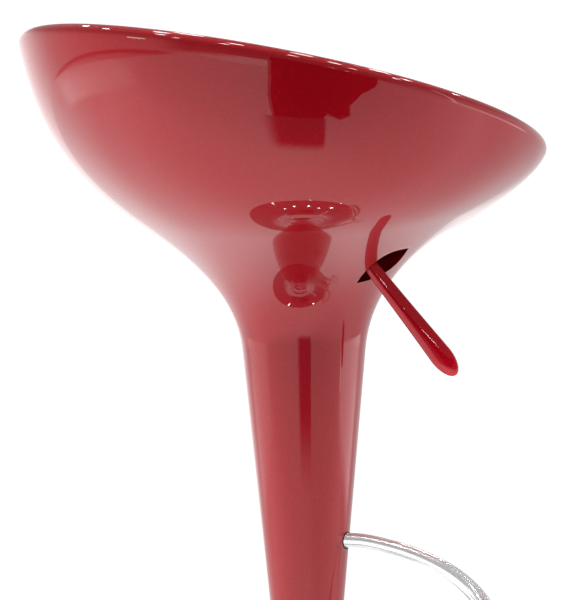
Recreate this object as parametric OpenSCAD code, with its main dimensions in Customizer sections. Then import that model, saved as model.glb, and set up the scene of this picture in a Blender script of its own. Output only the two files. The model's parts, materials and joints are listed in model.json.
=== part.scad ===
// Height-adjustable swivel bar stool: a one-piece bowl seat on a tapering neck
// that slides up and down over a chrome column standing on a trumpet base.
// Millimetres. The origin is on the floor, on the column's axis.
// +X is the sitter's front, +Z is up. The seat is drawn at its lowest height.

/* [Base] */
// Radius of the base at the floor
base_r = 192.5; // [185:0.5:200]
// Height of the top edge of the base's trumpet
trumpet_top = 172; // [160:1:174]
// Thickness of the base's sheet steel
sheet = 2; // [1.5:0.1:2.5]
// Radius of the cast ballast disc
ballast_r = 130; // [110:1:132]
// Thickness of the ballast disc
ballast_h = 11; // [9:0.5:11]

/* [Column and gas lift] */
// Outer radius of the column tube
column_r = 25; // [24.8:0.1:25]
// Height of the top of the column tube
column_top = 400; // [380:1:410]
// Outer radius of the gas spring's pressure tube
tube_r = 14; // [13.8:0.1:14]
// Radius of the piston rod
rod_r = 5; // [4.5:0.1:5]
// Radial clearance of every running fit
fit = 0.05; // [0.03:0.01:0.08]
// Number of balls in the thrust bearing
ball_count = 12; // [8:1:14]

/* [Seat shell] */
// Height of the open lower end of the neck
neck_low = 190; // [188:1:195]
// Radius of the neck at its lower end
neck_low_r = 28.7; // [28.6:0.1:29]
// Height where the straight neck starts to flare
neck_high = 400; // [390:1:410]
// Radius of the neck where it starts to flare
neck_high_r = 49.6; // [48:0.1:51]
// Wall thickness of the shell
wall = 3; // [2.5:0.1:3.2]
// Radius of the rounded bead along the rim
bead_r = 7.5; // [7:0.1:8]
// Facets round the seat
around = 48; // [32:4:56]

/* [Seat pan] */
// Height of the lowest point of the sitting surface
pan_low = 515; // [513:1:520]
// Thickness of the pan
pan_wall = 3.5; // [3:0.1:4]

/* [Footrest] */
// Radius of the footrest bar
bar_r = 6; // [5:0.1:6.5]
// Distance of each leg of the bar from the middle, where it leaves the neck
leg_y = 12; // [11:0.5:13]
// Height at which the bar leaves the neck
leg_z = 246.4; // [243:0.1:250]
// Facets round the bar
bar_sides = 12; // [8:1:16]

/* [Height lever] */
// Distance of the lever's pivot in front of the column's axis
pivot_x = 21; // [20:0.5:22]
// Height of the lever's pivot
pivot_z = 492; // [491:0.5:492]
// Distance of the lever from the middle plane
lever_y = 57; // [56:0.5:58]
// Angle of the lever below the horizontal
lever_drop = 52.7; // [52:0.1:53]
// Length of the lever from its pivot to its tip
lever_len = 152.8; // [146:0.1:156]
// Distance of the blade's middle line above the line through the pivot
lever_side = 6.5; // [6:0.1:7]

/* [Hidden] */
$fn = 64;

// Shape of the seat as values at its front, its side and its back.
// Hip: the place where the flare under the seat turns into the bowl.
hip_r = [133.7, 143.4, 123.7];
hip_z = [504.3, 475.4, 495.4];
hip_angle = [27.6, 20, 34];
// Rim: where the outer surface meets the bead.
rim_r = [196.2, 224.5, 227.2];
rim_z = [553.8, 597.5, 645.1];
rim_angle = [64.2, 82.8, 77.1];
// Reach of the curve's handles: above the neck, below and above the hip, under the rim.
neck_reach = [62.5, 29, 47.5];
low_reach = [23, 74.5, 35.6];
high_reach = [50.2, 71.1, 84.8];
rim_reach = [10, 44.1, 59.2];
// Reach of the pan's handles: across the sitting surface and under the rim.
pan_flat = [116, 165, 126];
pan_reach = [20, 58, 80];
pan_gap = 0.3;

cone_angle = atan2(neck_high - neck_low, neck_high_r - neck_low_r);
flare_steps = 9;
bowl_steps = 10;
bead_steps = 8;
pan_steps = 13;

// Heights inside the column, from the floor up.
cover_z = 3;
ballast_z = cover_z + sheet;
flange_z = ballast_z + ballast_h;
flange_h = 4;
seat_ring_z = 18;
race_z = seat_ring_z + 4;
race_h = 2;
ball_r = 1.48;
ball_z = race_z + race_h + 1.5;
ball_ring_r = 11;
upper_race_z = race_z + race_h + 3;
washer_z = upper_race_z + race_h;
shoulder_z = washer_z + 2;
stop_z = shoulder_z + 2;
tube_z = stop_z + 13;
tube_bore_r = tube_r - 1.9;
gland_z = tube_z + 4;
piston_z = 296;

// Heights of the seat's mechanism.
plate_z = 499;
plate_h = 3;
tube_top = 482;
taper_z = tube_top - 38;
valve_z = 458;
button_top = pivot_z - 2.2;
screw_ring = 84;
boss_r = 5;
arm_screw_r = 1.6;
arm_half = 3.5;
sleeve_r = 28.5;
sleeve_wall = 2;
sleeve_z = 228;
shaft_r = 3.5;
tongue_h = 4;
ear_ys = [-27, -37];
clip_ys = [-25.4, -38.7];
base_bolt_ring = 45;

// Lens-shaped slot for the lever, seen from the side.
slot_a = [41.5, 447.3];
slot_b = [83.2, 475.1];
slot_half = 4.9;

// ---------------------------------------------------------------- shape functions

// A value at angle a round the seat, from its front, side and back values.
function at_angle(v, a) =
  let (even = (v[0] + v[2]) / 4, side = v[1] / 2)
  even + side + (v[0] - v[2]) / 2 * cos(a) + (even - side) * cos(2 * a);

function heading(a) = [cos(a), sin(a)];
function left_of(d) = [-d[1], d[0]] / norm(d);

function bezier(p, t) =
  pow(1 - t, 3) * p[0] + 3 * pow(1 - t, 2) * t * p[1] + 3 * (1 - t) * t * t * p[2] + pow(t, 3) * p[3];
function bezier_dir(p, t) =
  pow(1 - t, 2) * (p[1] - p[0]) + 2 * (1 - t) * t * (p[2] - p[1]) + t * t * (p[3] - p[2]);

function hip(a) = [at_angle(hip_r, a), at_angle(hip_z, a)];
function rim(a) = [at_angle(rim_r, a), at_angle(rim_z, a)];
function rim_dir(a) = heading(at_angle(rim_angle, a));

function flare_curve(a) =
  let (n = [neck_high_r, neck_high], h = hip(a))
  [
    n,
    n + at_angle(neck_reach, a) * heading(cone_angle),
    h - at_angle(low_reach, a) * heading(at_angle(hip_angle, a)),
    h
  ];
function bowl_curve(a) =
  let (h = hip(a), r = rim(a))
  [
    h,
    h + at_angle(high_reach, a) * heading(at_angle(hip_angle, a)),
    r - at_angle(rim_reach, a) * rim_dir(a),
    r
  ];

// Points up the shell's surface at angle a, set in from the outside by w.
function shell_side(a, w) =
  let (f = flare_curve(a), b = bowl_curve(a))
  concat(
    [[neck_low_r + w * left_of(heading(cone_angle))[0], neck_low]],
    [for (i = [0:flare_steps]) let (t = i / flare_steps) bezier(f, t) + w * left_of(bezier_dir(f, t))],
    [for (i = [1:bowl_steps]) let (t = i / bowl_steps) bezier(b, t) + w * left_of(bezier_dir(b, t))]
  );

// The bead's half circle at angle a, from the outside over the top to the inside.
function bead(a) =
  let (d = rim_dir(a), n = left_of(d), c = rim(a) + bead_r * n)
  [for (i = [1:bead_steps]) let (t = 180 * i / bead_steps) c - bead_r * cos(t) * n + bead_r * sin(t) * d];

function reversed(v) = [for (i = [len(v) - 1:-1:0]) v[i]];
function shell_profile(a) = concat(shell_side(a, 0), bead(a), reversed(shell_side(a, wall)));

// The pan's sitting surface at angle a, from the middle out to the bead, and its underside.
function pan_curve(a) =
  let (d = rim_dir(a), e = rim(a) + 2 * bead_r * left_of(d) - pan_gap * d)
  [[0, pan_low], [at_angle(pan_flat, a), pan_low], e - at_angle(pan_reach, a) * d, e];
function pan_side(a, w) =
  let (p = pan_curve(a))
  [for (i = [1:pan_steps]) let (t = i / pan_steps) bezier(p, t) - w * left_of(bezier_dir(p, t))];

function turned(p, a) = [p[0] * cos(a), p[0] * sin(a), p[1]];

// A closed ring swept round the axis: rows[i] is the profile at step i.
module swept_ring(rows) {
  m = len(rows);
  n = len(rows[0]);
  polyhedron(
    points = [for (i = [0:m - 1]) for (p = rows[i]) turned(p, 360 * i / m)],
    faces = [
      for (i = [0:m - 1])
        for (j = [0:n - 1])
          let (a = i * n + j, b = i * n + (j + 1) % n, c = (i + 1) % m * n + (j + 1) % n, d = (i + 1) % m * n + j)
            each [[a, b, c], [a, c, d]]
    ]
  );
}

// A dish swept round the axis: each row runs from near the middle above, over the edge, to near the middle below.
module swept_dish(rows, top_z, low_z) {
  m = len(rows);
  n = len(rows[0]);
  top = m * n;
  polyhedron(
    points = concat(
      [for (i = [0:m - 1]) for (p = rows[i]) turned(p, 360 * i / m)],
      [[0, 0, top_z], [0, 0, low_z]]
    ),
    faces = concat(
      [
        for (i = [0:m - 1])
          for (j = [0:n - 2])
            let (a = i * n + j, b = a + 1, d = (i + 1) % m * n + j, c = d + 1)
              each [[a, c, b], [a, d, c]]
      ],
      [for (i = [0:m - 1]) [top, (i + 1) % m * n, i * n]],
      [for (i = [0:m - 1]) [top + 1, i * n + n - 1, (i + 1) % m * n + n - 1]]
    )
  );
}

// Middle line of half of the footrest bar: out of the neck and down to the lower corner,
// round the corner, and along half of the foot rail.
leg_route = [
  [27.5, leg_y, leg_z + 0.5], [44, leg_y, leg_z - 0.6], [60, leg_y + 1, leg_z - 4],
  [80, leg_y + 3, leg_z - 10], [100, leg_y + 7, leg_z - 18.5], [117, leg_y + 13, leg_z - 28.5],
  [131, leg_y + 21, leg_z - 41], [141.5, leg_y + 33, leg_z - 56], [148, leg_y + 49, leg_z - 72],
  [151, leg_y + 66, leg_z - 87]
];
corner_r = 22;
corner_mid = [leg_y + 66, leg_z - 115];
corner_route = [
  for (t = [38:-32:-90])
    [150 + t / 35, corner_mid[0] + corner_r * cos(t), corner_mid[1] + corner_r * sin(t)]
];
rail_z = corner_mid[1] - corner_r;
half_route = concat(leg_route, corner_route, [[147, 45, rail_z], [146.5, 16, rail_z]]);
route = concat(
  half_route,
  [for (i = [len(half_route) - 1:-1:0]) [half_route[i][0], -half_route[i][1], half_route[i][2]]]
);

// Points along a smooth curve through pts, k steps to each stretch.
function smooth(pts, k) =
  let (n = len(pts))
  concat(
    [
      for (i = [0:n - 2])
        let (p0 = pts[max(i - 1, 0)], p1 = pts[i], p2 = pts[i + 1], p3 = pts[min(i + 2, n - 1)])
          for (j = [0:k - 1])
            let (t = j / k)
              (2 * p1 + (p2 - p0) * t + (2 * p0 - 5 * p1 + 4 * p2 - p3) * t * t
                + (3 * p1 - p0 - 3 * p2 + p3) * t * t * t) / 2
    ],
    [pts[n - 1]]
  );

// A round bar along a route. Each ring stands square to the route.
module bar_along(pts, r, sides) {
  n = len(pts);
  dirs = [for (i = [0:n - 1]) let (d = pts[min(i + 1, n - 1)] - pts[max(i - 1, 0)]) d / norm(d)];
  points = [
    for (i = [0:n - 1])
      let (
        rough = cross(dirs[i], [1 - abs(dirs[i][0]), 0, abs(dirs[i][0])]),
        u = rough / norm(rough),
        v = cross(dirs[i], u)
      )
        for (j = [0:sides - 1]) pts[i] + r * (cos(360 * j / sides) * u + sin(360 * j / sides) * v)
  ];
  polyhedron(
    points = points,
    faces = concat(
      [
        for (i = [0:n - 2])
          for (j = [0:sides - 1])
            let (a = i * sides + j, b = i * sides + (j + 1) % sides, c = b + sides, d = a + sides)
              each [[a, b, c], [a, c, d]]
      ],
      [[for (j = [0:sides - 1]) sides - 1 - j]],
      [[for (j = [0:sides - 1]) (n - 1) * sides + j]]
    )
  );
}

// ---------------------------------------------------------------- repeated shapes

// A turned ring between two radii and two heights.
module ring(r_in, r_out, z_low, z_high) {
  rotate_extrude() translate([r_in, z_low]) square([r_out - r_in, z_high - z_low]);
}

// Copies of the children set evenly on a circle, the first turned by start.
module round_about(count, radius, start = 0) {
  for (i = [0:count - 1])
    rotate([0, 0, start + 360 * i / count]) translate([radius, 0, 0]) children();
}

// Moves the children so that +X runs down the lever, raised by lift degrees, and Z is across it.
module along_lever(lift = 0) {
  translate([pivot_x, -lever_y, pivot_z]) rotate([0, lever_drop - lift, 0]) rotate([90, 0, 0]) children();
}

// The same, with X on the blade's middle line.
module along_blade(lift = 0) {
  along_lever(lift) translate([0, lever_side, 0]) children();
}

// Half of the neck's outer width at a height on its straight part.
function neck_r_at(z) = neck_low_r + (neck_high_r - neck_low_r) * (z - neck_low) / (neck_high - neck_low);

// ---------------------------------------------------------------- base

trumpet_curve = [[base_r, 8], [120, 22], [29, 45], [column_r + 2.5, trumpet_top]];
trumpet_steps = 22;

module base_trumpet() {
  outer = [for (i = [0:trumpet_steps]) bezier(trumpet_curve, i / trumpet_steps)];
  inner = [
    for (i = [trumpet_steps:-1:0])
      let (t = i / trumpet_steps)
        bezier(trumpet_curve, t) + sheet * left_of(bezier_dir(trumpet_curve, t))
  ];
  color("silver")
    rotate_extrude($fn = 96)
      polygon(concat([[base_r, cover_z]], outer, inner, [[base_r - sheet, cover_z]]));
}

module base_ballast() {
  color("dimgray")
    difference() {
      ring(30, ballast_r, ballast_z, flange_z);
      round_about(4, base_bolt_ring) {
        translate([0, 0, ballast_z - 1]) cylinder(r = 4.2, h = ballast_h + 2);
        translate([0, 0, ballast_z - 1]) cylinder(r = 9.5, h = 7);
      }
      round_about(3, 115, 30) translate([0, 0, ballast_z - 1]) cylinder(r = 1.6, h = 9);
    }
}

module base_cover() {
  color("dimgray")
    difference() {
      ring(28, base_r - 13, cover_z, cover_z + sheet);
      round_about(4, base_bolt_ring) translate([0, 0, cover_z - 1]) cylinder(r = 10, h = 5);
      round_about(3, 115, 30) translate([0, 0, cover_z - 1]) cylinder(r = 2.1, h = 5);
    }
}

module floor_ring() {
  color("black")
    rotate_extrude($fn = 96)
      polygon([
        [base_r - 14, 0], [base_r - 1.5, 0], [base_r - 1, 0.5], [base_r - 1, 3],
        [base_r - sheet - 3, 3], [base_r - sheet - 3, 5], [base_r - 9, 5], [base_r - 9, 3], [base_r - 14, 3]
      ]);
}

module stand_tube() {
  color("silver")
    union() {
      ring(column_r - 2, column_r, ballast_z, column_top);
      ring(rod_r + fit, column_r - 1, seat_ring_z, race_z);
    }
}

module column_flange() {
  color("dimgray")
    difference() {
      ring(column_r, 62, flange_z, flange_z + flange_h);
      round_about(4, base_bolt_ring) translate([0, 0, flange_z - 1]) cylinder(r = 4.2, h = 6);
    }
}

module base_bolts() {
  color("gray")
    round_about(4, base_bolt_ring) {
      translate([0, 0, ballast_z + 0.5]) cylinder(r = 7.3, h = 5.5, $fn = 6);
      translate([0, 0, ballast_z + 5]) cylinder(r = 4, h = 24);
    }
}

module base_nuts() {
  color("gray")
    round_about(4, base_bolt_ring)
      translate([0, 0, flange_z + flange_h])
        difference() {
          cylinder(r = 7.3, h = 6.5, $fn = 6);
          translate([0, 0, -1]) cylinder(r = 4, h = 9);
        }
}

module cover_screws() {
  color("gray")
    round_about(3, 115, 30) {
      translate([0, 0, 1.2]) cylinder(r = 3.6, h = cover_z - 1.2);
      translate([0, 0, 2]) cylinder(r = 1.6, h = 10);
    }
}

module column_collar() {
  color("black")
    rotate_extrude()
      polygon([
        [column_r + fit, trumpet_top], [column_r + 3.5, trumpet_top],
        [column_r + 3, trumpet_top + 3], [column_r + fit, trumpet_top + 5]
      ]);
}

module guide_bush() {
  color("white")
    difference() {
      union() {
        ring(tube_r + fit, column_r - 2, column_top - 82, column_top);
        ring(tube_r + fit, column_r - 0.3, column_top, column_top + 3);
      }
      round_about(6, column_r - 2) translate([0, 0, column_top - 70]) cylinder(r = 1, h = 55);
    }
}

module bearing_lower_race() {
  color("gray") ring(7, 15, race_z, race_z + race_h);
}

// ---------------------------------------------------------------- thrust bearing

module bearing_cage() {
  color("goldenrod")
    difference() {
      ring(8.5, 13.8, ball_z - 0.8, ball_z + 0.8);
      round_about(ball_count, ball_ring_r) translate([0, 0, ball_z - 2]) cylinder(r = ball_r + 0.07, h = 4);
    }
}

module bearing_balls() {
  color("silver") round_about(ball_count, ball_ring_r) translate([0, 0, ball_z]) sphere(r = ball_r);
}

// ---------------------------------------------------------------- piston rod

module piston_rod() {
  color("silver")
    rotate_extrude()
      polygon([
        [0, 12], [rod_r - 0.5, 12], [rod_r, 12.5], [rod_r, 15.6], [rod_r - 1, 15.6], [rod_r - 1, 17.1],
        [rod_r, 17.1], [rod_r, shoulder_z], [8, shoulder_z], [8, stop_z], [rod_r, stop_z],
        [rod_r, piston_z], [0, piston_z]
      ]);
}

module piston() {
  color("lightgray")
    rotate_extrude()
      polygon([
        [0, piston_z], [tube_bore_r - fit, piston_z], [tube_bore_r - fit, piston_z + 5],
        [tube_bore_r - 2, piston_z + 5], [tube_bore_r - 2, piston_z + 9],
        [tube_bore_r - fit, piston_z + 9], [tube_bore_r - fit, piston_z + 14], [0, piston_z + 14]
      ]);
}

module piston_seal() {
  color("black") ring(tube_bore_r - 2, tube_bore_r - 0.02, piston_z + 5, piston_z + 9);
}

module bearing_upper_race() {
  color("gray") ring(rod_r, 15, upper_race_z, upper_race_z + race_h);
}

module rod_washer() {
  color("gray") ring(rod_r, 12, washer_z, shoulder_z);
}

module rod_clip() {
  color("gray")
    difference() {
      ring(rod_r - 1, 8.5, 15.6, 17.1);
      translate([0, -2.5, 15]) cube([12, 5, 3]);
    }
}

module bump_stop() {
  color("black")
    rotate_extrude()
      polygon([
        [rod_r, stop_z], [12.5, stop_z], [12.5, stop_z + 4], [11.5, stop_z + 6],
        [12.5, stop_z + 8], [12, tube_z], [rod_r, tube_z]
      ]);
}

// ---------------------------------------------------------------- gas lift, rising with the seat

module pressure_tube() {
  color("dimgray")
    rotate_extrude()
      polygon([
        [rod_r + 3, tube_z], [tube_r - 1, tube_z], [tube_r, tube_z + 1], [tube_r, taper_z],
        [tube_r - 1, tube_top], [4, tube_top], [4, tube_top - 3], [tube_bore_r, tube_top - 3],
        [tube_bore_r, gland_z], [rod_r + 3, gland_z]
      ]);
}

module rod_gland() {
  color("black") ring(rod_r + fit, tube_bore_r, gland_z, gland_z + 24);
}

module valve_body() {
  color("goldenrod") ring(3 + fit, tube_bore_r, valve_z, tube_top - 3);
}

module valve_pin() {
  color("silver")
    union() {
      translate([0, 0, valve_z + 4]) cylinder(r = 3, h = button_top - 0.5 - valve_z - 4);
      translate([0, 0, button_top - 0.5]) cylinder(r1 = 3, r2 = 2.4, h = 0.5);
    }
}

// ---------------------------------------------------------------- seat mechanism

module taper_hub() {
  color("dimgray")
    difference() {
      rotate_extrude()
        polygon([
          [tube_r, taper_z], [20, taper_z], [20, plate_z], [tube_r - 1, plate_z], [tube_r - 1, tube_top]
        ]);
      translate([-6, -12, tube_top + 1]) cube([32, 18.5, plate_z - tube_top]);
    }
}

module mount_plate() {
  color("dimgray")
    difference() {
      translate([0, 0, plate_z])
        linear_extrude(plate_h)
          union() {
            square([118, 118], center = true);
            square([2 * screw_ring + 20, 40], center = true);
            square([40, 2 * screw_ring + 20], center = true);
          }
      translate([0, 0, plate_z - 1]) cylinder(r = 9, h = plate_h + 2);
      round_about(4, screw_ring) translate([0, 0, plate_z - 1]) cylinder(r = 3.2, h = plate_h + 2);
    }
}

module plate_screws() {
  color("gray")
    round_about(4, screw_ring) {
      translate([0, 0, plate_z + plate_h]) cylinder(r = 5.5, h = 2.6);
      translate([0, 0, plate_z - 14]) cylinder(r = 2.5, h = 14 + plate_h + 1);
    }
}

module lever_bracket() {
  color("dimgray")
    difference() {
      union() {
        translate([pivot_x - 8, ear_ys[1] - 1, plate_z - 2]) cube([16, ear_ys[0] - ear_ys[1] + 2, 2]);
        for (y = ear_ys) {
          translate([pivot_x - 6.5, y - 1, pivot_z]) cube([13, 2, plate_z - pivot_z]);
          translate([pivot_x, y + 1, pivot_z]) rotate([90, 0, 0]) cylinder(r = 6.5, h = 2);
        }
      }
      for (y = ear_ys)
        translate([pivot_x, y + 2, pivot_z]) rotate([90, 0, 0]) cylinder(r = shaft_r + fit, h = 4);
    }
}

module carrier_sleeve() {
  color("gray")
    difference() {
      ring(sleeve_r - sleeve_wall, sleeve_r, sleeve_z, plate_z);
      translate([12, -30, pivot_z - 6]) cube([18, 22, 20]);
      for (y = [-leg_y, leg_y])
        translate([15, y, leg_z + 0.5]) rotate([0, 90, 0]) cylinder(r = 3.1, h = 20);
    }
}

module neck_guide_ring() {
  color("white")
    union() {
      ring(column_r + fit, neck_low_r - wall, neck_low, neck_low + 16);
      ring(column_r + fit, neck_low_r, neck_low - 3, neck_low);
    }
}

// ---------------------------------------------------------------- seat

// The opening for the lever: a lens shape run through the wall, and room for the blade to rise.
module lever_opening() {
  chord = norm(slot_b - slot_a);
  arc_r = (chord * chord / 4 + slot_half * slot_half) / (2 * slot_half);
  middle = (slot_a + slot_b) / 2;
  tilt = atan2(slot_b[1] - slot_a[1], slot_b[0] - slot_a[0]);
  translate([middle[0], -15, middle[1]])
    rotate([90, 0, 0])
      rotate([0, 0, tilt])
        linear_extrude(85)
          intersection() {
            translate([0, arc_r - slot_half]) circle(r = arc_r, $fn = 128);
            translate([0, slot_half - arc_r]) circle(r = arc_r, $fn = 128);
          }
  for (lift = [0, 7.25, 14.5]) along_blade(lift) translate([38, -7.4, -2.8]) cube([34, 14.8, 5.6]);
}

// Height of the shell's outer surface at angle a and distance r from the axis.
function under_z(a, r) = lookup(r, shell_side(a, 0));

module seat_shell() {
  color("firebrick")
    difference() {
      union() {
        swept_ring([for (i = [0:around - 1]) shell_profile(360 * i / around)]);
        for (a = [0:90:270])
          let (low = under_z(a, screw_ring + boss_r) + 0.5)
            rotate([0, 0, a]) translate([screw_ring, 0, low]) cylinder(r = boss_r, h = plate_z - low);
      }
      round_about(4, screw_ring) translate([0, 0, plate_z - 15]) cylinder(r = 2.5, h = 20);
      lever_opening();
      for (y = [-leg_y, leg_y])
        translate([15, y, leg_z]) rotate([0, 90, 0]) cylinder(r = bar_r + 1, h = 30);
    }
}

module seat_pan() {
  color("firebrick")
    union() {
      swept_dish(
        [
          for (i = [0:around - 1])
            let (a = 360 * i / around) concat(pan_side(a, 0), reversed(pan_side(a, pan_wall)))
        ],
        pan_low,
        pan_low - pan_wall
      );
      ring(36, 39, plate_z + plate_h, pan_low - 1);
    }
}

// ---------------------------------------------------------------- footrest

module footrest_bar() {
  color("silver")
    difference() {
      bar_along(smooth(route, 2), bar_r, bar_sides);
      cylinder(r = sleeve_r, h = 400);
      for (y = [-leg_y, leg_y])
        translate([20, y, leg_z + 0.5]) rotate([0, 90, 0]) cylinder(r = 3, h = 20);
    }
}

module footrest_screws() {
  color("gray")
    for (y = [-leg_y, leg_y])
      translate([23.2, y, leg_z + 0.5])
        intersection() {
          rotate([0, 90, 0]) cylinder(r = 3, h = 16.5);
          translate([-23.2, -y, -10]) difference() {
            cylinder(r = 60, h = 20);
            translate([0, 0, -1]) cylinder(r = sleeve_r - sleeve_wall, h = 22);
          }
        }
}

module footrest_grommets() {
  outer = 0.4;
  color("black")
    intersection() {
      rotate_extrude()
        polygon([
          [neck_r_at(235) - wall, 235], [neck_r_at(235) + outer, 235],
          [neck_r_at(265) + outer, 265], [neck_r_at(265) - wall, 265]
        ]);
      for (y = [-leg_y, leg_y])
        translate([15, y, leg_z])
          rotate([0, 90, 0])
            difference() {
              cylinder(r = bar_r + 1, h = 40);
              translate([0, 0, -1]) cylinder(r = bar_r + 0.3, h = 42);
            }
    }
}

// ---------------------------------------------------------------- height lever

module lever_shaft() {
  low = lever_side - arm_half;
  high = lever_side + arm_half;
  arm = [[-3, -3.5], [8, -3.5], [20, low], [78, low], [78, high], [5, high], [-3, 2]];
  color("gray")
    difference() {
      union() {
        translate([pivot_x, 5, pivot_z]) rotate([90, 0, 0]) cylinder(r = shaft_r, h = lever_y + 7);
        translate([-1, -4, pivot_z - tongue_h / 2]) cube([pivot_x + 1, 8, tongue_h]);
        along_lever() translate([0, 0, -1.5]) linear_extrude(3) polygon(arm);
      }
      along_blade() translate([30, 0, -3]) cylinder(r = arm_screw_r, h = 6);
    }
}

module shaft_clips() {
  color("gray")
    for (y = clip_ys)
      translate([pivot_x, y + 0.4, pivot_z])
        rotate([90, 0, 0])
          difference() {
            cylinder(r = 5.6, h = 0.8);
            translate([0, 0, -1]) cylinder(r = shaft_r, h = 3);
          }
}

// Half width of the blade at a distance from its pivot.
function blade_half(s) = 6 + 3.6 * pow(max(0, (s - 45) / (lever_len - 55)), 1.2);

module lever_blade() {
  start = 24;
  tip_len = 19;
  tip_start = lever_len - tip_len;
  stations = [for (i = [0:8]) start + (tip_start - start) * i / 8];
  outline = concat(
    [for (s = stations) [s, blade_half(s)]],
    [for (t = [75:-15:-75]) [tip_start + tip_len * cos(t), blade_half(tip_start) * sin(t)]],
    [for (s = reversed(stations)) [s, -blade_half(s)]]
  );
  color("firebrick")
    difference() {
      union() {
        along_blade() translate([0, 0, -2]) linear_extrude(4) polygon(outline);
        along_blade()
          intersection() {
            translate([0, 0, -3.6]) linear_extrude(7.2) polygon(outline);
            translate([76, -20, -10]) cube([lever_len, 40, 20]);
          }
      }
      along_blade() translate([start - 1, -arm_half, -1.5]) cube([79 - start, 2 * arm_half, 3]);
      along_blade() translate([30, 0, -5]) cylinder(r = arm_screw_r, h = 10);
    }
}

module lever_screw() {
  color("gray")
    along_blade() {
      translate([30, 0, -2]) cylinder(r = arm_screw_r, h = 4);
      translate([30, 0, 2]) cylinder(r = 3, h = 1.6);
    }
}

base_trumpet();
base_ballast();
base_cover();
floor_ring();
stand_tube();
column_flange();
base_bolts();
base_nuts();
cover_screws();
column_collar();
guide_bush();
bearing_lower_race();
bearing_cage();
bearing_balls();
piston_rod();
piston();
piston_seal();
bearing_upper_race();
rod_washer();
rod_clip();
bump_stop();
pressure_tube();
rod_gland();
valve_body();
taper_hub();
mount_plate();
plate_screws();
lever_bracket();
carrier_sleeve();
neck_guide_ring();
seat_shell();
seat_pan();
footrest_bar();
footrest_screws();
footrest_grommets();
lever_shaft();
shaft_clips();
lever_blade();
lever_screw();
valve_pin();
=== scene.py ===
"""Height-adjustable swivel bar stool: fine meshes, materials, studio and camera round the CAD frame."""
import json
import math

import bmesh
import bpy
from mathutils import Matrix, Vector


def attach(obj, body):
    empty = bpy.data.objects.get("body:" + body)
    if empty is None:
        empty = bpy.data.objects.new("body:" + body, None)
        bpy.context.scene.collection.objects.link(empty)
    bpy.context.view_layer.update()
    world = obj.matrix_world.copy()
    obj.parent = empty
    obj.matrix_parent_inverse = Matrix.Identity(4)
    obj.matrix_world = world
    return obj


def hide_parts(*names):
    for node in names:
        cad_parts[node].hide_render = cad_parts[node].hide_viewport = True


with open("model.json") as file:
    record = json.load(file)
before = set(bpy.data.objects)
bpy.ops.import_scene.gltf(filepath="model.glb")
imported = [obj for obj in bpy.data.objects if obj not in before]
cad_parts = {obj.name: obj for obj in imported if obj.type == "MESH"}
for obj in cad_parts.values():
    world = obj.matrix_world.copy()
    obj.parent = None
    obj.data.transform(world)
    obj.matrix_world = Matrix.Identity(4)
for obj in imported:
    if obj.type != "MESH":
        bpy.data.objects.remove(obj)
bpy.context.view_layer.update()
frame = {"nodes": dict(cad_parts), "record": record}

MM = 0.001


# ---------------------------------------------------------------- shape of the seat
# In millimetres and degrees. NECK_LOW and NECK_HIGH are (radius, height) of the neck's two ends. A group of
# three holds the values at the front, the side and the back of the seat. A reach is a curve handle's length.
NECK_LOW = (28.7, 190.0)
NECK_HIGH = (49.6, 400.0)
NECK_LEAN = math.degrees(math.atan2(NECK_HIGH[1] - NECK_LOW[1], NECK_HIGH[0] - NECK_LOW[0]))
HIP_R, HIP_Z, HIP_ANGLE = (133.7, 143.4, 123.7), (504.3, 475.4, 495.4), (27.6, 20, 34)
RIM_R, RIM_Z, RIM_ANGLE = (196.2, 224.5, 227.2), (553.8, 597.5, 645.1), (64.2, 82.8, 77.1)
NECK_REACH, LOW_REACH = (62.5, 29, 47.5), (23, 74.5, 35.6)
HIGH_REACH, RIM_REACH = (50.2, 71.1, 84.8), (10, 44.1, 59.2)
PAN_LOW, PAN_FLAT, PAN_REACH = 515.0, (116, 165, 126), (20, 58, 80)
WALL, PAN_WALL, BEAD_R, PAN_GAP = 3.0, 3.5, 7.5, 0.3

# Steps of the fine meshes: round the seat, and up the neck, the flare and the bowl.
AROUND = 240
OUTSIDE_STEPS, INSIDE_STEPS = (12, 34, 40), (6, 14, 16)
BEAD_STEPS, PAN_STEPS, PAN_UNDER_STRIDE = 14, 44, 4


def at_angle(values, a):
    """A value at angle a round the seat, from its front, side and back values."""
    even = (values[0] + values[2]) / 4
    side = values[1] / 2
    return even + side + (values[0] - values[2]) / 2 * math.cos(a) + (even - side) * math.cos(2 * a)


def heading(degrees):
    return Vector((math.cos(math.radians(degrees)), math.sin(math.radians(degrees))))


def left_of(d):
    return Vector((-d.y, d.x)).normalized()


def bezier(p, t):
    u = 1 - t
    return u**3 * p[0] + 3 * u * u * t * p[1] + 3 * u * t * t * p[2] + t**3 * p[3]


def bezier_dir(p, t):
    u = 1 - t
    return u * u * (p[1] - p[0]) + 2 * u * t * (p[2] - p[1]) + t * t * (p[3] - p[2])


def flare_curve(a):
    neck = Vector(NECK_HIGH)
    hip = Vector((at_angle(HIP_R, a), at_angle(HIP_Z, a)))
    out = heading(at_angle(HIP_ANGLE, a))
    from_neck = neck + at_angle(NECK_REACH, a) * heading(NECK_LEAN)
    return [neck, from_neck, hip - at_angle(LOW_REACH, a) * out, hip]


def bowl_curve(a):
    hip = Vector((at_angle(HIP_R, a), at_angle(HIP_Z, a)))
    rim = Vector((at_angle(RIM_R, a), at_angle(RIM_Z, a)))
    out = heading(at_angle(HIP_ANGLE, a))
    up = heading(at_angle(RIM_ANGLE, a))
    return [hip, hip + at_angle(HIGH_REACH, a) * out, rim - at_angle(RIM_REACH, a) * up, rim]


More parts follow.
